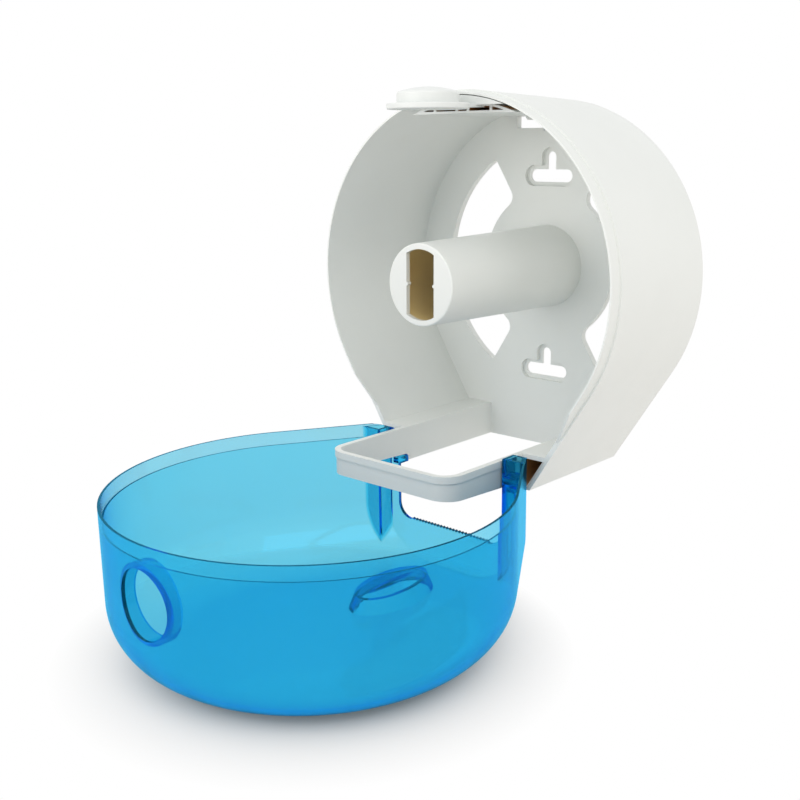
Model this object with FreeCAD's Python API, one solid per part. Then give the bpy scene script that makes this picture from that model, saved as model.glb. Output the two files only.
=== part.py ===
"""Wall-mounted jumbo toilet roll dispenser with a drop-down translucent cover.

Millimetres, +Z up.  The wall plane is y = 0 and the dispenser stands out of it
towards -Y.  The origin is the centre of the round drum on the wall plane.
The cover and its hinge pins are built shut and then swung open about the hinge.
"""
import FreeCAD
import Part
import math
import os

V = FreeCAD.Vector
X_AXIS = V(1, 0, 0)
Y_AXIS = V(0, 1, 0)
Z_AXIS = V(0, 0, 1)

# --- outline shared by housing and cover: a round drum with two straight tapering sides
drum_radius = 105.3         # at the wall
drum_flare = 0.6            # how much larger the drum's radius is at the front
drum_lift = 2.4             # how much higher its centre is there, as its top slopes up
taper_angle = 32.0          # of the straight sides, from the vertical
bottom_z = -115.5
wall = 2.8
plate = 4.5                 # thickness of the back plate

# --- depths, measured from the wall plane
shoulder_depth = 91.6       # where the cover's rim meets the housing
tongue_length = 7.1
tongue_step = 1.0           # of the tongue below the drum, at its root
tongue_draft = 0.8          # from its root to its tip
tongue_root_end_z = -84.0   # on both sides the tongue runs out between these heights
tongue_tip_end_z = -64.0

# --- openings in the back plate
hub_radius = 48.0
cutout_radius = 78.0
cutout_half_angle = 58.0
cutout_inner_fillet = 7.0
cutout_outer_fillet = 2.5
keyhole_heights = (58.8, -66.0)
keyhole_width = 31.0
keyhole_height = 7.8
keyhole_leg_width = 6.4
keyhole_leg_length = 11.0
keyhole_margin = 2.5        # of the recess round each keyhole
keyhole_land = 1.6          # thickness left under the recess
hatch_half_width = 25.0
hatch_height = 7.2
hatch_drop = 10.0           # of its upper edge below the drum's top

# --- paper chute and the U-shaped guard in front of it
chute_half_width = 42.5
chute_height = 21.5         # of its walls above the drum's flat bottom
floor_thickness = 2.7
guard_thickness = 2.8
guard_front = 158.5
guard_corner = 12.0
guard_root_rise = 4.2       # of its lower edge above the flat bottom, at the housing
guard_front_rise = 7.5      # and at the front bar
guard_bead_height = 4.0
guard_bead = 0.8

# --- spindle
spindle_z = 2.5
spindle_base_radius = 25.8
spindle_tip_radius = 23.2
spindle_tip = 128.4
spindle_wall = 2.6
spindle_cap = 3.0
spindle_edge = 0.8
spindle_slot_width = 20.0
spindle_slot_radius = 19.9  # of the slot's arched ends
spindle_nib = 1.0
screw_inset = 6.6           # of the two spindle screws from the spindle's outside
screw_radius = 1.6
screw_length = 18.0
screw_head_radius = 3.4
screw_head_height = 2.2
screw_head_gap = 0.3        # round the head in its recess
screw_bite = 0.2            # how much smaller the pilot hole is than the hole in the plate
screw_cross_width = 1.0
screw_cross_length = 4.0
screw_cross_floor = 1.0     # what is left of the head under the cross
screw_recess_depth = 2.6
screw_boss_radius = 4.2
screw_boss_length = 22.0

# --- hinge
hinge_ahead = 14.7          # of the shoulder
hinge_rise = 9.7            # above the housing's flat bottom
open_angle = 90.6
pin_radius = 2.5
pin_fit = 0.05              # running clearance of the pins in the guard
pin_hole_depth = 2.0
pin_end_gap = 0.3           # between a pin's end and the blind hole's floor
pin_boss_radius = 5.0
pin_reach = 56.0            # of the pins from the middle plane
swing_gap = 0.7             # between the housing and the cover's lower rear edge as it swings

# --- cover
cover_overhang = 1.3        # of the cover outside the drum's front
cover_wall = 2.4
cover_gap = 0.3             # between the cover's rim and the housing's shoulder
cover_front = 177.0
cover_fillet = 35.0
lip_thickness = 1.4
lip_depth = 7.8
post_height = 13.6
post_wall = 2.2
post_top_gap = 1.0
arm_gap = 1.4               # between the guard's arms and the notch in the cover
post_set_back = 0.3         # of the hinge posts from the notch
notch_ahead = 6.2           # of the hinge
mouth_inset = 1.1           # of the mouth's sides from the chute's
mouth_reach = 8.0           # how far short of the guard's front the mouth ends
mouth_corner = 10.0
tooth_pitch = 2.4
tooth_depth = 1.2
stop_height = 4.0
stop_gap = 0.4
sight_z = -58.1
sight_floor = 168.0
sight_half_length = 29.0
sight_half_width = 15.0
sight_slope = 4.0
sight_slot_length = 40.0
sight_slot_width = 5.5

# --- latch
latch_depth = 121.5         # of the button's centre from the wall plane
button_radius = 17.0
button_fit = 0.5
button_crown = 55.0         # radius of the button's domed top
button_edge = 1.5
button_sink = 0.9           # of the dome's top below the cover's top
flange_edge = 0.75
flange_radius = 22.6
flange_drop = 9.5           # of the flange's top below the cover's top
flange_thickness = 3.1
collar_wall = 2.4
collar_gap = 0.3
lever_gap = 0.4
lever_height = 10.0         # of the lever's lower skin below the drum's top
lever_skin = 1.3
lever_slot_height = 2.3
lever_rib = 1.6
lever_ribs = (4.0, 20.0)
lever_front = 92.0
lever_rear = 16.0
neck_half_width = 15.0
neck_thickness = 1.9
neck_root = 10.0            # how far the neck reaches back into the lever
apron_front = 99.0
apron_thickness = 2.0
apron_gap = 0.5             # from the drum's inside
apron_rise = 4.2            # of the apron's lower edge above the lever's
ear_spread = 9.2            # of the arms round the latch pin from the middle plane
pivot_ahead = 3.7           # of the plate
pivot_drop = 8.9            # below the drum's top
pivot_radius = 2.0
pivot_fit = 0.05
pivot_ear_radius = 3.4
pivot_lug = 3.0
pivot_lug_gap = 0.9
spring_wire = 0.4
wire_sides = 16
spring_radius = 3.2
spring_turns = 7.25
spring_pitch = 1.1
spring_front_leg = 12.0
spring_groove = 1.0         # half the width of the groove for the spring's front leg
spring_gap = 0.1            # over that leg in its groove
spring_rear_leg = 10.0

slack = 1.0                 # how far cutting tools pass the faces they cut

# --- places that follow from the sizes above
front_radius = drum_radius + drum_flare
tongue_root_radius = front_radius - tongue_step
tongue_inner_radius = front_radius - wall
tongue_tip_radius = tongue_root_radius - tongue_draft
hatch_high_z = drum_radius - hatch_drop
hatch_low_z = hatch_high_z - hatch_height
chute_top_z = bottom_z + chute_height
guard_root_bottom_z = bottom_z + guard_root_rise
guard_front_bottom_z = bottom_z + guard_front_rise
screw_spread = spindle_base_radius - screw_inset
arm_outer = chute_half_width + guard_thickness
hinge_y = -shoulder_depth - hinge_ahead
hinge_z = bottom_z + hinge_rise
swing_radius = hinge_ahead - swing_gap
cover_radius = front_radius + cover_overhang
cover_top_z = cover_radius + drum_lift
cover_bottom_z = bottom_z + drum_lift
notch_half_width = arm_outer + arm_gap
notch_end = notch_ahead - hinge_y
post_inner = notch_half_width + post_set_back
post_front_z = cover_bottom_z + post_height
mouth_half_width = chute_half_width - mouth_inset
mouth_end = guard_front - mouth_reach
flange_high_z = cover_top_z - flange_drop
flange_low_z = flange_high_z - flange_thickness
lever_low_z = drum_radius - lever_height
lever_ceiling_z = lever_low_z + lever_skin + lever_slot_height
apron_low_z = lever_low_z + apron_rise
neck_low_z = flange_high_z - neck_thickness
pivot_y = -plate - pivot_ahead
pivot_z = drum_radius - pivot_drop
spring_half_length = spring_turns * spring_pitch / 2
below_bottom = bottom_z - 5 * slack
far = 3 * (drum_radius + cover_front)     # beyond every face of the model


def box(x0, x1, y0, y1, z0, z1):
    """Box between two corners, each pair in rising order."""
    return Part.makeBox(x1 - x0, y1 - y0, z1 - z0, V(x0, y0, z0))


def cylinder(radius, start, axis, length):
    return Part.makeCylinder(radius, length, start, axis)


def mirrored(shape):
    """The same shape on the other side of the middle plane."""
    return shape.mirror(V(0, 0, 0), X_AXIS)


def both_sides(shape):
    return [shape, mirrored(shape)]


def extrude(wire, depth):
    """Solid from a flat wire, pushed out towards -Y."""
    return Part.Face(wire).extrude(V(0, -depth, 0))


def outline(radius, bottom, y, lift=0.0):
    """Round drum with straight sides that taper to a flat bottom, in a plane across Y."""
    phi = math.radians(taper_angle)
    side_x = radius * math.cos(phi)
    side_z = lift - radius * math.sin(phi)
    foot_x = (radius + (bottom - lift) * math.sin(phi)) / math.cos(phi)
    arc = Part.Arc(V(side_x, y, side_z), V(0, y, lift + radius), V(-side_x, y, side_z)).toShape()
    left = Part.makeLine(V(-side_x, y, side_z), V(-foot_x, y, bottom))
    floor = Part.makeLine(V(-foot_x, y, bottom), V(foot_x, y, bottom))
    right = Part.makeLine(V(foot_x, y, bottom), V(side_x, y, side_z))
    return Part.Wire([arc, left, floor, right])


def drum_at(y, inset):
    """Radius and lift of the drum at one depth, taken in from its outside by a wall or a gap."""
    share = -y / shoulder_depth
    return drum_radius + share * drum_flare - inset, share * drum_lift


def drum_block(inset, bottom, front, rear):
    """Solid drum between two depths, its front larger and higher than its back."""
    ends = []
    for y in (front, rear):
        radius, lift = drum_at(y, inset)
        ends.append(outline(radius, bottom, y, lift))
    return Part.makeLoft(ends, True, True)


def rounded_slot(half_width, half_height, corner, y, centre_z):
    """Rectangle with round corners in a plane across Y."""
    ring = Part.makePolygon([
        V(-half_width, y, centre_z - half_height), V(half_width, y, centre_z - half_height),
        V(half_width, y, centre_z + half_height), V(-half_width, y, centre_z + half_height),
        V(-half_width, y, centre_z - half_height)])
    block = Part.Face(ring).extrude(V(0, -1, 0))
    edges = [e for e in block.Edges if abs(e.tangentAt(e.FirstParameter).y) > 0.9]
    rounded = block.makeFillet(corner, edges)
    face = [f for f in rounded.Faces if abs(f.CenterOfMass.y - y) < 1e-6][0]
    return face.OuterWire


# ---------------------------------------------------------------- back housing

def plate_cutout():
    """Ring sector through the plate on the right of the hub, with rounded corners."""
    angle = math.radians(cutout_half_angle)
    y = slack

    def at(radius, turn):
        return V(radius * math.cos(turn), y, spindle_z + radius * math.sin(turn))

    inner = Part.Arc(at(hub_radius, -angle), at(hub_radius, 0), at(hub_radius, angle)).toShape()
    outer = Part.Arc(at(cutout_radius, angle), at(cutout_radius, 0), at(cutout_radius, -angle)).toShape()
    top = Part.makeLine(at(hub_radius, angle), at(cutout_radius, angle))
    low = Part.makeLine(at(cutout_radius, -angle), at(hub_radius, -angle))
    sector = extrude(Part.Wire([inner, top, outer, low]), plate + 2 * slack)
    for radius, fillet in ((hub_radius, cutout_inner_fillet), (cutout_radius, cutout_outer_fillet)):
        corners = []
        for edge in sector.Edges:
            middle = edge.CenterOfMass
            reach = math.hypot(middle.x, middle.z - spindle_z)
            if abs(edge.tangentAt(edge.FirstParameter).y) > 0.9 and abs(reach - radius) < 0.5:
                corners.append(edge)
        sector = sector.makeFillet(fillet, corners)
    return sector


def keyhole(centre_z, grow, y, depth):
    """Upside-down T: a level slot with a leg above it, grown all round, from one depth outwards."""
    half_height = keyhole_height / 2 + grow
    slot = extrude(rounded_slot(keyhole_width / 2 + grow, half_height, 0.98 * half_height, y, centre_z), depth)
    half_leg = keyhole_leg_width / 2 + grow
    top = centre_z + keyhole_height / 2 + keyhole_leg_length + grow
    leg = extrude(rounded_slot(half_leg, (top - centre_z) / 2, 0.98 * half_leg, y, (top + centre_z) / 2), depth)
    return slot.fuse(leg).removeSplitter()


def back_plate():
    """Flat plate with the hub, the two side cut-outs, the keyholes and the latch hatch."""
    body = extrude(outline(drum_radius - wall / 2, bottom_z, 0), plate)
    for tool in both_sides(plate_cutout()):
        body = body.cut(tool)
    for height in keyhole_heights:
        body = body.cut(keyhole(height, 0, slack, plate + 2 * slack))
        body = body.cut(keyhole(height, keyhole_margin, -keyhole_land, plate))
    body = body.cut(box(-hatch_half_width, hatch_half_width, -plate - slack, slack,
                        hatch_low_z, hatch_high_z))
    for side in (-1, 1):
        centre = V(0, 0, spindle_z + side * screw_spread)
        body = body.cut(cylinder(screw_radius, centre + V(0, slack, 0), -Y_AXIS, plate + 2 * slack))
        body = body.cut(cylinder(screw_head_radius + screw_head_gap, centre + V(0, slack, 0), -Y_AXIS,
                                 screw_recess_depth + slack))
    return body


def drum_wall():
    """Side wall of the drum, open at the front and along the bottom."""
    outer = drum_block(0, bottom_z, -shoulder_depth, 0)
    return outer.cut(drum_block(wall, below_bottom, -shoulder_depth - slack, slack))


def tongue():
    """Thin drafted rim in front of the shoulder, which the cover's lip goes over."""
    tip_y = -shoulder_depth - tongue_length
    root = outline(tongue_root_radius, bottom_z, slack - shoulder_depth, drum_lift)
    tip = outline(tongue_tip_radius, bottom_z, tip_y, drum_lift)
    ring = Part.makeLoft([root, tip], True, True)
    inner = extrude(outline(tongue_inner_radius, below_bottom, 0, drum_lift), far)
    below = Part.Face(Part.makePolygon([
        V(-far, 0, tongue_root_end_z), V(-far, -shoulder_depth, tongue_root_end_z),
        V(-far, tip_y, tongue_tip_end_z), V(-far, -far, tongue_tip_end_z),
        V(-far, -far, -far), V(-far, 0, -far), V(-far, 0, tongue_root_end_z)])).extrude(V(2 * far, 0, 0))
    return ring.cut(inner).cut(below)


def chute_floor():
    """Ledges that close the drum on both sides of the paper chute."""
    ledge = box(chute_half_width, drum_radius, -shoulder_depth, -plate / 2,
                chute_top_z - floor_thickness, chute_top_z)
    return both_sides(ledge.common(drum_block(wall / 2, bottom_z, -shoulder_depth, 0)))


def chute_walls():
    """Upright walls of the chute inside the housing."""
    side = box(chute_half_width, chute_half_width + guard_thickness, -shoulder_depth, -plate / 2,
               bottom_z, chute_top_z)
    return both_sides(side)


def front_rounded(block, radius):
    """Round the two upright front corners of a block."""
    front = block.BoundBox.YMin
    upright = [e for e in block.Edges
               if abs(e.CenterOfMass.y - front) < 1e-6 and abs(e.tangentAt(e.FirstParameter).z) > 0.9]
    return block.makeFillet(radius, upright)


def guard_band(grow, low_z, high_z):
    """U-shaped band, grown outwards by a little, between two heights."""
    half = arm_outer + grow
    back = shoulder_depth - slack
    outer = box(-half, half, -guard_front - grow, -back, low_z, high_z)
    inner = box(-chute_half_width, chute_half_width, guard_thickness - guard_front, slack - back,
                low_z - slack, high_z + slack)
    return front_rounded(outer, guard_corner + grow).cut(
        front_rounded(inner, guard_corner - guard_thickness))


def guard():
    """Arms and front bar that keep the paper back, with a bead along the top."""
    band = guard_band(0, guard_root_bottom_z, chute_top_z)
    bead = guard_band(guard_bead, chute_top_z - guard_bead_height, chute_top_z)
    below = guard_root_bottom_z - slack
    beyond = -guard_front - slack
    rise = Part.Face(Part.makePolygon([
        V(-far, -shoulder_depth, below), V(-far, -shoulder_depth, guard_root_bottom_z),
        V(-far, -guard_front, guard_front_bottom_z), V(-far, beyond, guard_front_bottom_z),
        V(-far, beyond, below), V(-far, -shoulder_depth, below)])).extrude(V(2 * far, 0, 0))
    body = band.cut(rise).fuse(bead)
    for side in (-1, 1):
        start = V(side * (arm_outer + guard_bead), hinge_y, hinge_z)
        body = body.cut(cylinder(pin_radius + pin_fit, start, X_AXIS * -side, pin_hole_depth + guard_bead))
    return body


def latch_lugs():
    """Two lugs on the back plate that carry the latch pin."""
    inner_x = ear_spread + lever_rib / 2 + pivot_lug_gap
    lug = box(inner_x, inner_x + pivot_lug, pivot_y, -plate / 2,
              pivot_z - pivot_ear_radius, pivot_z + pivot_ear_radius)
    lug = lug.fuse(cylinder(pivot_ear_radius, V(inner_x, pivot_y, pivot_z), X_AXIS, pivot_lug))
    hole = cylinder(pivot_radius, V(inner_x - slack, pivot_y, pivot_z), X_AXIS, pivot_lug + 2 * slack)
    return both_sides(lug.cut(hole))


def back_housing():
    parts = [drum_wall(), tongue(), guard()] + chute_floor() + chute_walls() + latch_lugs()
    return back_plate().multiFuse(parts).removeSplitter()


# ---------------------------------------------------------------- spindle

def spindle():
    """Hollow tapered tube with a tall slot in its end and two screw bosses inside."""
    centre = V(0, -plate, spindle_z)
    length = spindle_tip - plate
    body = Part.makeCone(spindle_base_radius, spindle_tip_radius, length, centre, -Y_AXIS)
    tip_edges = [e for e in body.Edges if e.BoundBox.YMax < -spindle_tip + 0.1]
    body = body.makeFillet(spindle_edge, tip_edges)
    hollow = Part.makeCone(spindle_base_radius - spindle_wall,
                           spindle_tip_radius - spindle_wall * (1 + spindle_cap / length),
                           length - spindle_cap, centre, -Y_AXIS)
    body = body.cut(hollow)
    slot = cylinder(spindle_slot_radius, V(0, spindle_cap + slack - spindle_tip, spindle_z), -Y_AXIS,
                    spindle_cap + 2 * slack)
    half = spindle_slot_width / 2
    body = body.cut(slot.common(box(-half, half, -far, 0, -far, far)))
    for side in (-1, 1):
        nib = cylinder(spindle_nib, V(side * spindle_slot_width / 2, -spindle_tip + spindle_cap, spindle_z),
                       -Y_AXIS, spindle_cap)
        boss_centre = centre + V(0, 0, side * screw_spread)
        boss = cylinder(screw_boss_radius, boss_centre, -Y_AXIS, screw_boss_length)
        pilot = cylinder(screw_radius - screw_bite, boss_centre + V(0, slack, 0), -Y_AXIS,
                         screw_length + slack)
        body = body.fuse([nib, boss]).cut(pilot)
    return body


def spindle_screws():
    """Two pan-head screws driven from behind through the plate."""
    screws = []
    for side in (-1, 1):
        seat = V(0, -screw_recess_depth, spindle_z + side * screw_spread)
        head = cylinder(screw_head_radius, seat, Y_AXIS, screw_head_height)
        shank = cylinder(screw_radius - screw_bite, seat, -Y_AXIS, screw_length)
        recess = box(-screw_cross_width / 2, screw_cross_width / 2, screw_cross_floor - screw_recess_depth,
                     slack, seat.z - screw_cross_length / 2, seat.z + screw_cross_length / 2)
        cross = recess.copy()
        cross.rotate(V(0, 0, seat.z), Y_AXIS, 90)
        screws.append(head.fuse(shank).cut(recess).cut(cross))
    return Part.makeCompound(screws)


# ---------------------------------------------------------------- cover

def domed_block(radius, front, fillet, bottom):
    """Outline pushed forwards, its front edge rounded everywhere but along the bottom."""
    rim = -shoulder_depth - cover_gap
    bend = fillet * (1 - math.sqrt(0.5))
    arc = Part.Arc(V(radius, fillet - front, 0), V(radius - bend, bend - front, 0),
                   V(radius - fillet, -front, 0)).toShape()
    half = Part.makePolygon([V(radius - fillet, -front, 0), V(0, -front, 0), V(0, rim, 0),
                             V(radius, rim, 0), V(radius, fillet - front, 0)])
    section = Part.Face(Part.Wire([arc] + half.Edges))
    section.rotate(V(0, 0, 0), Y_AXIS, taper_angle)
    drum = section.revolve(V(0, 0, 0), -Y_AXIS, 180 + 2 * taper_angle)
    phi = math.radians(taper_angle)
    side = section.extrude(V(-math.sin(phi), 0, -math.cos(phi)) * far)
    side = side.common(box(0, far, -front - slack, 0, bottom - drum_lift, far))
    block = drum.multiFuse(both_sides(side)).removeSplitter()
    block.translate(V(0, 0, drum_lift))
    return block


def cover_shell():
    """The cover's outer block, and the same block hollowed out with its rim thinned to a lip."""
    outer = domed_block(cover_radius, cover_front, cover_fillet, cover_bottom_z)
    inner = domed_block(cover_radius - cover_wall, cover_front - cover_wall,
                        cover_fillet - cover_wall, cover_bottom_z + cover_wall)
    lip = extrude(outline(cover_radius - lip_thickness, cover_bottom_z + cover_wall,
                          slack - shoulder_depth - cover_gap, drum_lift), lip_depth + slack)
    return outer, outer.cut(inner).cut(lip)


def hinge_post(outer):
    """Hollow post in the lower corner of the cover, with a boss for the hinge pin."""
    top = -shoulder_depth - cover_gap - post_top_gap
    body = box(post_inner, drum_radius, -cover_front, top, cover_bottom_z, post_front_z)
    hollow = box(post_inner + post_wall, drum_radius, -cover_front + cover_wall + post_wall,
                 top + slack, cover_bottom_z + cover_wall, post_front_z - post_wall)
    side = extrude(outline(cover_radius - cover_wall, below_bottom, slack, drum_lift), 2 * cover_front)
    boss = cylinder(pin_boss_radius, V(post_inner, hinge_y, hinge_z), X_AXIS, pin_reach - post_inner)
    shell = body.cut(hollow.common(side))
    return shell.common(outer).fuse(boss.common(outer))


def mouth_tool():
    """Cutter for the opening in the bottom wall: a notch round the guard, then the mouth."""
    low = cover_bottom_z - slack
    height = cover_wall + 2 * slack
    notch = box(-notch_half_width, notch_half_width, -notch_end, 0, low, low + height + post_height)
    half = mouth_half_width
    corner = mouth_corner
    start = -notch_end + slack
    bend = corner * (1 - math.sqrt(0.5))
    edges = [Part.makeLine(V(-half, start, low), V(-half, -mouth_end + corner, low)),
             Part.Arc(V(-half, -mouth_end + corner, low), V(-half + bend, -mouth_end + bend, low),
                      V(-half + corner, -mouth_end, low)).toShape()]
    count = int(2 * (half - corner) / tooth_pitch)
    step = 2 * (half - corner) / count
    points = [V(-half + corner, -mouth_end, low)]
    for i in range(count):
        x = -half + corner + i * step
        points.append(V(x + step / 2, -mouth_end + tooth_depth, low))
        points.append(V(x + step, -mouth_end, low))
    edges += Part.makePolygon(points).Edges
    edges += [Part.Arc(V(half - corner, -mouth_end, low), V(half - bend, -mouth_end + bend, low),
                       V(half, -mouth_end + corner, low)).toShape(),
              Part.makeLine(V(half, -mouth_end + corner, low), V(half, start, low)),
              Part.makeLine(V(half, start, low), V(-half, start, low))]
    mouth = Part.Face(Part.Wire(edges)).extrude(V(0, 0, height))
    return notch.fuse(mouth)


def stop_lugs():
    """Lugs on the bottom wall that meet the chute walls when the cover hangs open."""
    reach = -hinge_y - shoulder_depth - stop_gap
    lug = box(mouth_half_width, notch_half_width, -notch_end - stop_height, -notch_end,
              hinge_z - reach, cover_bottom_z + cover_wall)
    return both_sides(lug)


def ellipse_wire(half_x, half_z, y):
    """Ellipse in a plane across Y, its long axis upright."""
    curve = Part.Ellipse(V(0, y, sight_z), half_z, half_x)
    curve.Axis = -Y_AXIS
    curve.XAxis = Z_AXIS
    return Part.Wire([curve.toShape()])


def sight_boss_and_recess():
    """Oval dish pressed into the cover's face, with a slit to see the roll through."""
    inner_face = -cover_front + cover_wall
    boss = Part.makeLoft([
        ellipse_wire(sight_half_width + cover_wall, sight_half_length + cover_wall, inner_face - slack / 2),
        ellipse_wire(sight_half_width + cover_wall - sight_slope,
                     sight_half_length + cover_wall - sight_slope, -sight_floor + cover_wall)], True, True)
    dish = Part.makeLoft([
        ellipse_wire(sight_half_width, sight_half_length, -cover_front - slack / 2),
        ellipse_wire(sight_half_width - sight_slope, sight_half_length - sight_slope, -sight_floor)],
        True, True)
    half = sight_slot_length / 2
    y = -sight_floor + cover_wall + slack
    right = Part.Arc(V(0, y, sight_z - half), V(sight_slot_width / 2, y, sight_z), V(0, y, sight_z + half))
    left = Part.Arc(V(0, y, sight_z + half), V(-sight_slot_width / 2, y, sight_z), V(0, y, sight_z - half))
    slit = extrude(Part.Wire([right.toShape(), left.toShape()]), cover_wall + 2 * slack)
    return boss, dish.fuse(slit)


def swing_trim():
    """Material outside the swing radius, below the hinge and behind it."""
    corner = box(-far, far, hinge_y, 0, -far, hinge_z)
    return corner.cut(cylinder(swing_radius, V(-far, hinge_y, hinge_z), X_AXIS, 2 * far))


def front_cover():
    outer, shell = cover_shell()
    collar_low = flange_high_z + collar_gap
    hole_centre = V(0, -latch_depth, collar_low)
    collar = cylinder(button_radius + button_fit + collar_wall, hole_centre, Z_AXIS, far).common(outer)
    boss, dish = sight_boss_and_recess()
    body = shell.multiFuse([collar, boss] + both_sides(hinge_post(outer)) + stop_lugs())
    body = body.cut(cylinder(button_radius + button_fit, hole_centre - V(0, 0, slack), Z_AXIS, far))
    body = body.cut(dish).cut(mouth_tool()).cut(swing_trim())
    for side in (-1, 1):
        start = V(side * (post_inner - slack), hinge_y, hinge_z)
        body = body.cut(cylinder(pin_radius, start, X_AXIS * side, pin_reach - post_inner + slack))
    return opened(body.removeSplitter())


def opened(shape):
    """Swing a piece that was built shut to where it hangs open."""
    shape.rotate(V(0, hinge_y, hinge_z), X_AXIS, open_angle)
    return shape


def hinge_pin(side):
    """Plain pin, pressed into a hinge post and turning in the guard's blind hole."""
    inner = chute_half_width + guard_thickness - pin_hole_depth + pin_end_gap
    return opened(cylinder(pin_radius, V(side * inner, hinge_y, hinge_z), X_AXIS * side, pin_reach - inner))


# ---------------------------------------------------------------- latch

def segment(radius, low_z, front, rear, centre_z=0.0):
    """Bar whose section is the part of a disc above a level chord."""
    disc = cylinder(radius, V(0, -rear, centre_z), -Y_AXIS, front - rear)
    return disc.cut(box(-far, far, -far, 0, -far, low_z))


def lever_box():
    """Lever under the drum's top: curved above, flat below, with a low slot through it and ribs."""
    outer_radius = drum_radius - wall - lever_gap
    body = segment(outer_radius, lever_low_z, lever_front, lever_rear)
    slot = segment(outer_radius - lever_skin, lever_low_z + lever_skin, lever_front + slack,
                   lever_rear - slack)
    slot = slot.common(box(-far, far, -far, 0, 0, lever_ceiling_z))
    ribs = []
    for x in lever_ribs:
        rib = box(x - lever_rib / 2, x + lever_rib / 2, -lever_front, -lever_rear, lever_low_z, outer_radius)
        ribs += both_sides(rib.common(body))
    leg_z = pivot_z + spring_radius
    groove = box(spring_half_length - spring_groove, spring_half_length + spring_groove, -far, slack,
                 leg_z - spring_groove, leg_z + spring_wire + spring_gap)
    groove = groove.common(cylinder(spring_front_leg + spring_groove, V(-far, pivot_y, leg_z), X_AXIS, 2 * far))
    return body.cut(slot).multiFuse(ribs).cut(groove)


def lever_ears():
    """Two arms that reach back from the lever round the latch pin."""
    x = ear_spread - lever_rib / 2
    ear = box(x, x + lever_rib, -lever_rear - slack, pivot_y,
              pivot_z - pivot_ear_radius / 2, pivot_z + pivot_ear_radius)
    ear = ear.fuse(cylinder(pivot_ear_radius, V(x, pivot_y, pivot_z), X_AXIS, lever_rib))
    return both_sides(ear)


def apron():
    """Curved plate across the lever's neck that fills the top of the drum's mouth."""
    radius = tongue_inner_radius - apron_gap
    return segment(radius, apron_low_z, apron_front, apron_front - apron_thickness, drum_lift)


def button():
    """Domed button on a wider flange."""
    centre = V(0, -latch_depth, flange_low_z)
    flange = cylinder(flange_radius, centre, Z_AXIS, flange_high_z - flange_low_z)
    flange = flange.makeFillet(flange_edge, [e for e in flange.Edges if e.Length > 2 * flange_radius])
    crown = Part.makeSphere(button_crown, V(0, -latch_depth, cover_top_z - button_sink - button_crown))
    head = cylinder(button_radius, centre, Z_AXIS, far).common(crown)
    rim = [e for e in head.Edges if e.Length > 2 * button_radius and e.BoundBox.ZMin > flange_high_z]
    return flange.fuse(head.makeFillet(button_edge, rim))


def latch_lever():
    neck = box(-neck_half_width, neck_half_width, -latch_depth, neck_root - lever_front,
               neck_low_z, flange_high_z)
    body = lever_box().multiFuse(lever_ears() + [neck, apron(), button()])
    start = V(-ear_spread - lever_rib, pivot_y, pivot_z)
    hole = cylinder(pivot_radius + pivot_fit, start, X_AXIS, 2 * (ear_spread + lever_rib))
    return body.cut(hole).removeSplitter()


def latch_pin():
    reach = ear_spread + lever_rib / 2 + pivot_lug_gap + pivot_lug
    return cylinder(pivot_radius, V(-reach, pivot_y, pivot_z), X_AXIS, 2 * reach)


def wire_section(centre, normal, across):
    """Section of the spring wire: a many-sided ring round a point, one corner lying across."""
    turn = FreeCAD.Rotation(normal, 360 / wire_sides)
    corners = [across * spring_wire]
    for _ in range(wire_sides - 1):
        corners.append(turn.multVec(corners[-1]))
    corners.append(corners[0])
    return Part.makePolygon([centre + corner for corner in corners])


def latch_spring():
    """Torsion spring round the latch pin: one leg down the plate, one under the lever's top."""
    length = 2 * spring_half_length
    coil = Part.makeHelix(spring_pitch, length, spring_radius)
    profile = wire_section(V(spring_radius, 0, 0), Y_AXIS, X_AXIS)
    turns = Part.Wire(coil.Edges).makePipeShell([profile], True, True)
    turns.rotate(V(0, 0, 0), V(1, 1, 1), 120)
    turns.translate(V(-spring_half_length, pivot_y, pivot_z))
    start = V(-spring_half_length, pivot_y + spring_radius, pivot_z)
    end = V(spring_half_length, pivot_y, pivot_z + spring_radius)
    rear_leg = Part.Face(wire_section(start, Z_AXIS, Y_AXIS)).extrude(-Z_AXIS * spring_rear_leg)
    front_leg = Part.Face(wire_section(end, Y_AXIS, Z_AXIS)).extrude(-Y_AXIS * spring_front_leg)
    return turns.multiFuse([rear_leg, front_leg])


def export(name, shape):
    shape.exportStep("parts/" + name + ".step")


def main():
    os.makedirs("parts", exist_ok=True)
    export("back_housing", back_housing())
    export("spindle", spindle())
    export("spindle_screws", spindle_screws())
    export("front_cover", front_cover())
    export("hinge_pin_left", hinge_pin(-1))
    export("hinge_pin_right", hinge_pin(1))
    export("latch_lever", latch_lever())
    export("latch_pin", latch_pin())
    export("latch_spring", latch_spring())


main()
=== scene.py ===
"""Looks for the jumbo roll dispenser: materials, floor, light and camera.  Lengths in metres."""
import bpy
import math
from mathutils import Matrix, Vector


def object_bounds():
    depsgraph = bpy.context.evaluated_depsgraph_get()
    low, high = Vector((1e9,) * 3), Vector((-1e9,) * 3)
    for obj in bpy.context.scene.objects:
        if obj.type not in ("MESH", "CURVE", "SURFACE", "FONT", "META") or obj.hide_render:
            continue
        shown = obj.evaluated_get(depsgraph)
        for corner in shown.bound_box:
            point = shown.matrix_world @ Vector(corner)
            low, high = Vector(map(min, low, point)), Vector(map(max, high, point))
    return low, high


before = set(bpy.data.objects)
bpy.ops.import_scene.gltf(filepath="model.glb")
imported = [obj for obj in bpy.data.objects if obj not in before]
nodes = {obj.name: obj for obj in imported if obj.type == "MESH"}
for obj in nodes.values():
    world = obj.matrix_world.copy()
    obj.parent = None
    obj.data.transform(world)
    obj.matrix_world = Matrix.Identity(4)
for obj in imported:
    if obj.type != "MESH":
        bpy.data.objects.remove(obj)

cad_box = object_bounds()


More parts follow.
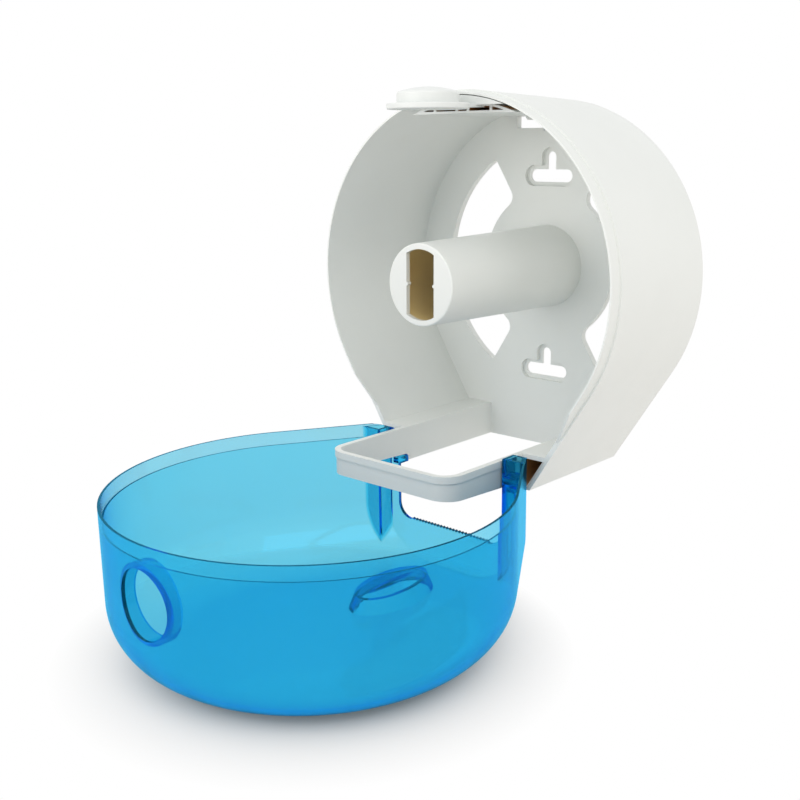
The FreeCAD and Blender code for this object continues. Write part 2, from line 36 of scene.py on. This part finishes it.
# ---------------------------------------------------------------- values of the materials

NOISE_BAND = (0.3, 0.7)             # where nearly all of a noise's values lie

# white plastics: (lighter, darker, least roughness)
HOUSING_WHITE = ((0.840, 0.860, 0.832), (0.812, 0.832, 0.803), 0.36)
SPINDLE_WHITE = ((0.840, 0.858, 0.828), (0.812, 0.832, 0.800), 0.34)
LEVER_WHITE = ((0.800, 0.822, 0.800), (0.770, 0.794, 0.772), 0.33)
WHITE_ROUGHNESS_SPAN = 0.08
WHITE_IOR = 1.52
WHITE_CLOUDS = (14.0, 4.0)          # scale and detail of a noise, as in the others below
WHITE_WEAR = (90.0, 2.0)
WHITE_WAVES = ((20.0, 1.0), 0.05, 0.0003)       # noise, strength and height of a relief
WHITE_GRAIN = ((900.0, 2.0), 0.03, 0.00002)

# painted shade in deep gaps in them, warm or dark brown; each limit a band over which the painted
# shade fades
# painted shade: brown inside the spindle's tube
TUBE_PAINTED_SHADE = (0.84, 0.66, 0.30)
SPINDLE_Z = 0.0025
SPINDLE_SKIN = (0.0206, 0.0230)     # from the tube's inside to its outside
SPINDLE_MOUTH = (-0.1265, -0.1235)
# painted shade: dark brown in the pockets beside the drum
POCKET_PAINTED_SHADE = (0.36, 0.17, 0.05)
DRUM_TAPER = math.radians(32.0)
POCKET_TOP = (-0.0970, -0.0964)
POCKET_SKIN = (0.1026, 0.1034)      # from the drum's slanted side's inside to its outside
POCKET_SIDE = (0.0440, 0.0452)
POCKET_MOUTH = (-0.0922, -0.0900)
POCKET_FLOOR = (-0.0040, -0.0030)
# painted shade: brown in the latch lever's slot
SLOT_PAINTED_SHADE = (0.45, 0.22, 0.08)
SLOT_FLOOR = (0.0964, 0.0966)
SLOT_CEILING = (0.0989, 0.0991)
SLOT_MOUTH = (-0.0919, -0.0905)

# blue cover
BLUE_DENSITY = 600.0                # of the absorption, per metre
BLUE_BODY = (0.01, 0.835, 0.970)    # colour that is absorbed least
BLUE_IOR = 1.5
BLUE_TINTS = ((0.94, 0.985, 0.995), (1.0, 1.0, 1.0))
BLUE_CLOUDS = (9.0, 2.0)
BLUE_WEAR = (60.0, 2.0)
BLUE_INNER_ROUGHNESS = (0.01, 0.04)
GLOSS_BLUE = (0.12, 0.66, 1.0)
GLOSS_ROUGHNESS = (0.06, 0.12)
MILK_BLUE = (0.01, 0.46, 0.88)
MILK_SHARE = 0.12
SHADE = (0.66, 0.40, 0.31)          # what one face of the cover lets into a shadow
BOUNCE_SHARE = 0.35                 # of milky reflection in light that the cover passes on

# steel: (colour, roughness)
PIN_STEEL = ((0.60, 0.60, 0.61), 0.3)
SPRING_STEEL = ((0.48, 0.49, 0.51), 0.35)
STEEL_LIGHTER = 1.12
STEEL_ROUGHNESS_SPAN = 0.08         # both ways
STEEL_GRAIN = (0.05, 1.0, 1.0)      # stretches a noise along X
STEEL_STREAKS = (400.0, 3.0)
STEEL_WEAR = (700.0, 2.0)
STEEL_SCRATCHES = ((1500.0, 2.0), 0.15, 0.00004)

# sockets of a mix node that blends colours
MIX_SHARE, MIX_BASE, MIX_OVER, MIX_RESULT = 0, 6, 7, 2


# ---------------------------------------------------------------- materials

class Graph:
    """A node tree with short ways to add and join nodes."""

    def __init__(self, tree):
        self.tree = tree

    def add(self, kind, **inputs):
        node = self.tree.nodes.new(kind)
        for name, value in inputs.items():
            node.inputs[name].default_value = value
        return node

    def join(self, source, target):
        self.tree.links.new(source, target)

    def put(self, value, target):
        """A number goes on the socket itself, anything else is joined to it."""
        if isinstance(value, (int, float)):
            target.default_value = value
        else:
            self.join(value, target)

    def spread(self, source, low, high, band=NOISE_BAND):
        """What comes in over a band goes out from low to high."""
        node = self.add("ShaderNodeMapRange")
        for name, value in zip(("From Min", "From Max", "To Min", "To Max"), (*band, low, high)):
            node.inputs[name].default_value = value
        self.join(source, node.inputs["Value"])
        return node.outputs["Result"]

    def rise(self, source, band):
        return self.spread(source, 0.0, 1.0, band)

    def fall(self, source, band):
        return self.spread(source, 1.0, 0.0, band)

    def math(self, operation, first, second=0.0):
        node = self.add("ShaderNodeMath")
        node.operation = operation
        self.put(first, node.inputs[0])
        self.put(second, node.inputs[1])
        return node.outputs[0]

    def product(self, first, *others):
        for other in others:
            first = self.math("MULTIPLY", first, other)
        return first

    def largest(self, first, *others):
        for other in others:
            first = self.math("MAXIMUM", first, other)
        return first


class Paint(Graph):
    """A new material's node tree."""

    def __init__(self, name):
        self.material = bpy.data.materials.new(name)
        self.material.use_nodes = True
        super().__init__(self.material.node_tree)
        self.shader = self.tree.nodes["Principled BSDF"]
        self.output = self.tree.nodes["Material Output"]
        self.coords = self.add("ShaderNodeTexCoord").outputs["Object"]

    def axes(self):
        """The piece's own X, Y and Z."""
        split = self.add("ShaderNodeSeparateXYZ")
        self.join(self.coords, split.inputs[0])
        return split.outputs

    def noise(self, grain, stretch=None):
        scale, detail = grain
        node = self.add("ShaderNodeTexNoise", Scale=scale, Detail=detail)
        source = self.coords
        if stretch:
            mapping = self.add("ShaderNodeMapping", Scale=stretch)
            self.join(source, mapping.inputs["Vector"])
            source = mapping.outputs["Vector"]
        self.join(source, node.inputs["Vector"])
        return node.outputs["Fac"]

    def tones(self, source, low, high):
        """Colour that goes from one to another as a noise rises."""
        node = self.add("ShaderNodeValToRGB")
        for stop, place, colour in zip(node.color_ramp.elements, NOISE_BAND, (low, high)):
            stop.position = place
            stop.color = (*colour, 1.0)
        self.join(source, node.inputs["Fac"])
        return node.outputs["Color"]

    def over(self, share, base, colour):
        """Colour that goes from a linked base to a fixed colour by a share."""
        node = self.add("ShaderNodeMix")
        node.data_type = "RGBA"
        self.join(share, node.inputs[MIX_SHARE])
        self.join(base, node.inputs[MIX_BASE])
        node.inputs[MIX_OVER].default_value = (*colour, 1.0)
        return node.outputs[MIX_RESULT]

    def relief(self, *layers, stretch=None):
        """Bump from several noises, each (noise, strength, height)."""
        normal = None
        for grain, strength, height in layers:
            node = self.add("ShaderNodeBump", Strength=strength, Distance=height)
            self.join(self.noise(grain, stretch), node.inputs["Height"])
            if normal:
                self.join(normal, node.inputs["Normal"])
            normal = node.outputs["Normal"]
        self.join(normal, self.shader.inputs["Normal"])

    def coloured(self, kind, colour):
        return self.add(kind, Color=(*colour, 1.0))

    def blend(self, share, first, second):
        """Shader that goes from one to another by a share."""
        node = self.add("ShaderNodeMixShader")
        self.put(share, node.inputs[0])
        self.join(first.outputs[0], node.inputs[1])
        self.join(second.outputs[0], node.inputs[2])
        return node

    def finish(self, surface):
        self.join(surface.outputs[0], self.output.inputs["Surface"])


def moulded_white(name, white, shade_mask, shade_brown):
    """Satin white ABS: faint cloudiness and fine moulded grain, with painted shade, a warm brown,
    in one deep gap.
    """
    light, dark, rough = white
    g = Paint(name)
    # painted shade: a brown over the white where the mask marks a deep gap
    colour = g.over(shade_mask(g), g.tones(g.noise(WHITE_CLOUDS), dark, light), shade_brown)
    g.join(colour, g.shader.inputs["Base Color"])
    g.join(g.spread(g.noise(WHITE_WEAR), rough, rough + WHITE_ROUGHNESS_SPAN),
           g.shader.inputs["Roughness"])
    g.shader.inputs["IOR"].default_value = WHITE_IOR
    g.relief(WHITE_WAVES, WHITE_GRAIN)
    return g.material


def spindle_shade_mask(g):
    """One inside the spindle's tube, where painted shade goes."""
    x, y, z = g.axes()
    height = g.math("SUBTRACT", z, SPINDLE_Z)
    square = g.math("ADD", g.product(x, x), g.product(height, height))
    return g.product(g.fall(g.math("SQRT", square), SPINDLE_SKIN), g.rise(y, SPINDLE_MOUTH))


def pocket_shade_mask(g):
    """One in the two pockets between the chute's walls and the drum's slanted sides, where painted
    shade goes.
    """
    x, y, z = g.axes()
    side = g.math("ABSOLUTE", x)
    slant = g.math("SUBTRACT", g.math("MULTIPLY", side, math.cos(DRUM_TAPER)),
                   g.math("MULTIPLY", z, math.sin(DRUM_TAPER)))
    return g.product(g.fall(slant, POCKET_SKIN), g.rise(side, POCKET_SIDE), g.fall(z, POCKET_TOP),
                     g.rise(y, POCKET_MOUTH), g.fall(y, POCKET_FLOOR))


def lever_slot_shade_mask(g):
    """One in the low slot through the latch lever, between its two level skins, where painted
    shade goes.
    """
    _, y, z = g.axes()
    return g.product(g.rise(z, SLOT_FLOOR), g.fall(z, SLOT_CEILING), g.rise(y, SLOT_MOUTH))


def translucent_blue(name):
    """See-through blue styrene: clear inside with a steady absorption, polished, faintly milky."""
    g = Paint(name)
    g.tree.nodes.remove(g.shader)
    glass = g.add("ShaderNodeBsdfRefraction", IOR=BLUE_IOR)
    g.join(g.tones(g.noise(BLUE_CLOUDS), *BLUE_TINTS), glass.inputs["Color"])
    g.join(g.spread(g.noise(BLUE_WEAR), *BLUE_INNER_ROUGHNESS), glass.inputs["Roughness"])
    milk = g.coloured("ShaderNodeBsdfDiffuse", MILK_BLUE)
    gloss = g.coloured("ShaderNodeBsdfGlossy", GLOSS_BLUE)
    g.join(g.spread(g.noise(BLUE_WEAR), *GLOSS_ROUGHNESS), gloss.inputs["Roughness"])
    fresnel = g.add("ShaderNodeFresnel", IOR=BLUE_IOR)
    seen = g.blend(fresnel.outputs[0], g.blend(MILK_SHARE, glass, milk), gloss)
    path = g.add("ShaderNodeLightPath").outputs
    shade = g.coloured("ShaderNodeBsdfTransparent", SHADE)
    passed_on = g.blend(g.math("MULTIPLY", path["Is Diffuse Ray"], BOUNCE_SHARE), shade, milk)
    indirect = g.largest(path["Is Shadow Ray"], path["Is Diffuse Ray"])
    g.finish(g.blend(indirect, seen, passed_on))
    body = g.coloured("ShaderNodeVolumeAbsorption", BLUE_BODY)
    body.inputs["Density"].default_value = BLUE_DENSITY
    g.join(body.outputs[0], g.output.inputs["Volume"])
    return g.material


def drawn_steel(name, steel):
    """Ground or drawn steel with fine scratches along one way."""
    base, rough = steel
    light = tuple(min(1.0, c * STEEL_LIGHTER) for c in base)
    g = Paint(name)
    g.shader.inputs["Metallic"].default_value = 1.0
    g.join(g.tones(g.noise(STEEL_STREAKS, STEEL_GRAIN), base, light),
           g.shader.inputs["Base Color"])
    g.join(g.spread(g.noise(STEEL_WEAR, STEEL_GRAIN), rough - STEEL_ROUGHNESS_SPAN,
                    rough + STEEL_ROUGHNESS_SPAN), g.shader.inputs["Roughness"])
    g.relief(STEEL_SCRATCHES, stretch=STEEL_GRAIN)
    return g.material


pin_steel = drawn_steel("pin_steel", PIN_STEEL)
# each white plastic gets painted shade, a brown, in one deep gap
FINISH = {
    "back_housing": moulded_white("housing_white", HOUSING_WHITE, pocket_shade_mask, POCKET_PAINTED_SHADE),
    "spindle": moulded_white("spindle_white", SPINDLE_WHITE, spindle_shade_mask, TUBE_PAINTED_SHADE),
    "spindle_screws": pin_steel,
    "front_cover": translucent_blue("blue_translucent"),
    "hinge_pin_left": pin_steel,
    "hinge_pin_right": pin_steel,
    "latch_lever": moulded_white("lever_white", LEVER_WHITE, lever_slot_shade_mask, SLOT_PAINTED_SHADE),
    "latch_pin": pin_steel,
    "latch_spring": drawn_steel("spring_steel", SPRING_STEEL),
}
for node_name, material in FINISH.items():
    slots = nodes[node_name].material_slots
    for slot in slots:
        slot.material = material
    if not slots:
        nodes[node_name].data.materials.append(material)


# ---------------------------------------------------------------- floor and light

FLOOR_HALF = 6.0
FLOOR_GAP = 0.002                   # under the open cover
FLOOR_TONES = ((0.97, 0.93, 0.89), (0.98, 0.94, 0.90))
FLOOR_CLOUDS = (3.0, 2.0)
FLOOR_ROUGHNESS = 0.95
FLOOR_PAINTED_LIGHT = 0.05                   # share of painted light, a plain white glow, in it close to the cover
FLOOR_PAINTED_LIGHT_THROUGH = 0.85                # the same painted light where it is seen through the cover, over the cover's shadow
FLOOR_FADE = (0.082, 0.138)         # distances over which the painted light takes it to plain white
COVER_CENTRE = (0.0, -0.2145, 0.0)  # of these distances, on the floor's own level
PLAIN_WHITE = 1.0                   # strength of a glow that shows as white
WORLD_LIGHT = 0.84

LIGHTS_AIM = (0.0, -0.1, 0.0)
# name: (place, side of the square, watts)
LIGHTS = {
    "key": ((0.9, -0.7, 1.1), 1.0, 4.2),
    "fill": ((-0.5, -1.6, 0.35), 1.2, 6.4),
}


def white_floor(name):
    """Pale matt floor with painted light: a white glow that grows away from the cover and cuts its
    shadow off, and lightens the floor seen through the cover.
    """
    g = Paint(name)
    g.join(g.tones(g.noise(FLOOR_CLOUDS), *FLOOR_TONES), g.shader.inputs["Base Color"])
    g.shader.inputs["Roughness"].default_value = FLOOR_ROUGHNESS
    g.shader.inputs["Specular IOR Level"].default_value = 0.0
    away = g.add("ShaderNodeVectorMath")
    away.operation = "DISTANCE"
    g.join(g.coords, away.inputs[0])
    away.inputs[1].default_value = COVER_CENTRE
    path = g.add("ShaderNodeLightPath").outputs
    fade = g.spread(away.outputs["Value"], FLOOR_PAINTED_LIGHT, 1.0, FLOOR_FADE)
    direct = g.product(g.largest(path["Is Camera Ray"], path["Is Glossy Ray"]), fade)
    through = g.product(path["Is Transmission Ray"], FLOOR_PAINTED_LIGHT_THROUGH)
    # painted light: the floor glows white by distance from the cover and where it is seen through
    # the cover
    white = g.add("ShaderNodeEmission", Strength=PLAIN_WHITE)
    g.finish(g.blend(g.largest(direct, through), g.shader, white))
    return g.material


def add_object(name, data):
    obj = bpy.data.objects.new(name, data)
    bpy.context.scene.collection.objects.link(obj)
    return obj


floor_mesh = bpy.data.meshes.new("floor")
floor_mesh.from_pydata([(-FLOOR_HALF, -FLOOR_HALF, 0), (FLOOR_HALF, -FLOOR_HALF, 0),
                        (FLOOR_HALF, FLOOR_HALF, 0), (-FLOOR_HALF, FLOOR_HALF, 0)],
                       [], [(0, 1, 2, 3)])
floor = add_object("floor", floor_mesh)
lowest = cad_box[0][2]
floor.location = (0, 0, lowest - FLOOR_GAP)
floor.data.materials.append(white_floor("floor_pale"))

world = bpy.data.worlds.new("studio")
bpy.context.scene.world = world
world.use_nodes = True
sky = Graph(world.node_tree)
ray = sky.add("ShaderNodeLightPath").outputs
seen = sky.largest(ray["Is Camera Ray"], ray["Is Glossy Ray"], ray["Is Transmission Ray"])
background = sky.tree.nodes["Background"]
background.inputs["Color"].default_value = (1.0, 1.0, 1.0, 1.0)
sky.join(sky.spread(seen, WORLD_LIGHT, PLAIN_WHITE, (0.0, 1.0)), background.inputs["Strength"])

for name, (place, side, power) in LIGHTS.items():
    light = bpy.data.lights.new(name, "AREA")
    light.shape = "RECTANGLE"
    light.size = light.size_y = side
    light.energy = power
    lamp = add_object(name, light)
    lamp.location = place
    way = Vector(LIGHTS_AIM) - Vector(place)
    lamp.rotation_euler = way.to_track_quat("-Z", "Y").to_euler()


# ---------------------------------------------------------------- camera

CAMERA_AZIMUTH = math.radians(41.976)
CAMERA_ELEVATION = math.radians(13.571)
CAMERA_ROLL = math.radians(-0.364)
CAMERA_DISTANCE = 0.5934
CAMERA_AIM = Vector((0.0, -0.1455, -0.0600))
SENSOR_WIDTH = 36.0                 # in millimetres, as is the lens
LENS = 47.87

back = Vector((math.sin(CAMERA_AZIMUTH) * math.cos(CAMERA_ELEVATION),
               -math.cos(CAMERA_AZIMUTH) * math.cos(CAMERA_ELEVATION),
               math.sin(CAMERA_ELEVATION)))
level = Vector((math.cos(CAMERA_AZIMUTH), math.sin(CAMERA_AZIMUTH), 0.0))
upright = back.cross(level)
right = level * math.cos(CAMERA_ROLL) + upright * math.sin(CAMERA_ROLL)
up = upright * math.cos(CAMERA_ROLL) - level * math.sin(CAMERA_ROLL)
spot = CAMERA_AIM + back * CAMERA_DISTANCE

camera_data = bpy.data.cameras.new("camera")
camera_data.sensor_width = SENSOR_WIDTH
camera_data.lens = LENS
camera = add_object("camera", camera_data)
camera.matrix_world = Matrix((
    (right.x, up.x, back.x, spot.x),
    (right.y, up.y, back.y, spot.y),
    (right.z, up.z, back.z, spot.z),
    (0.0, 0.0, 0.0, 1.0)))
bpy.context.scene.camera = camera

bpy.context.scene.view_settings.view_transform = "Standard"
